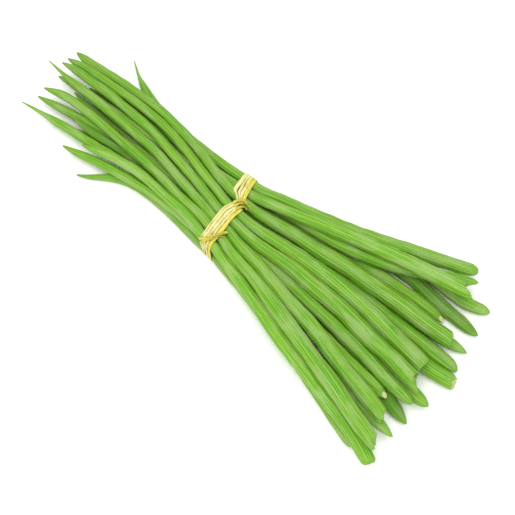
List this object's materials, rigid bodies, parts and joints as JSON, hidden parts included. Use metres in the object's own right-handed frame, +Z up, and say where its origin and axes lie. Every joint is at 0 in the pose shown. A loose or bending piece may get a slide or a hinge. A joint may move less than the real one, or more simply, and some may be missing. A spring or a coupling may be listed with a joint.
{
  "type": "bunch of moringa pods",
  "caption": "Long, slender, ribbed green moringa pods laid together in a flat fan and bound near the middle with a strip of raffia.",
  "frame": {"origin": "on the surface that the bunch lies on, under the middle of the bunch's box", "axes": "+X from the pods' thin tips to their stalk ends, +Y across the bunch from its wider half to its narrower half, +Z up"},
  "size_m": [0.4814, 0.2068, 0.0411],
  "materials": {
    "pod_skin": "fresh green plant skin, satin, with fine lengthwise ribs",
    "raffia": "dry split palm leaf, satin, with lengthwise fibres"
  },
  "bodies": {
    "root": {"pod_01": "pod_skin", "pod_02": "pod_skin", "pod_03": "pod_skin", "pod_04": "pod_skin", "pod_05": "pod_skin", "pod_06": "pod_skin", "pod_07": "pod_skin", "pod_08": "pod_skin", "pod_09": "pod_skin", "pod_10": "pod_skin", "pod_11": "pod_skin", "pod_12": "pod_skin", "pod_13": "pod_skin", "pod_14": "pod_skin", "pod_15": "pod_skin", "pod_16": "pod_skin", "pod_17": "pod_skin", "pod_18": "pod_skin", "pod_19": "pod_skin", "pod_20": "pod_skin", "pod_21": "pod_skin", "pod_22": "pod_skin", "raffia_tie": "raffia"}
  },
  "joints": []
}
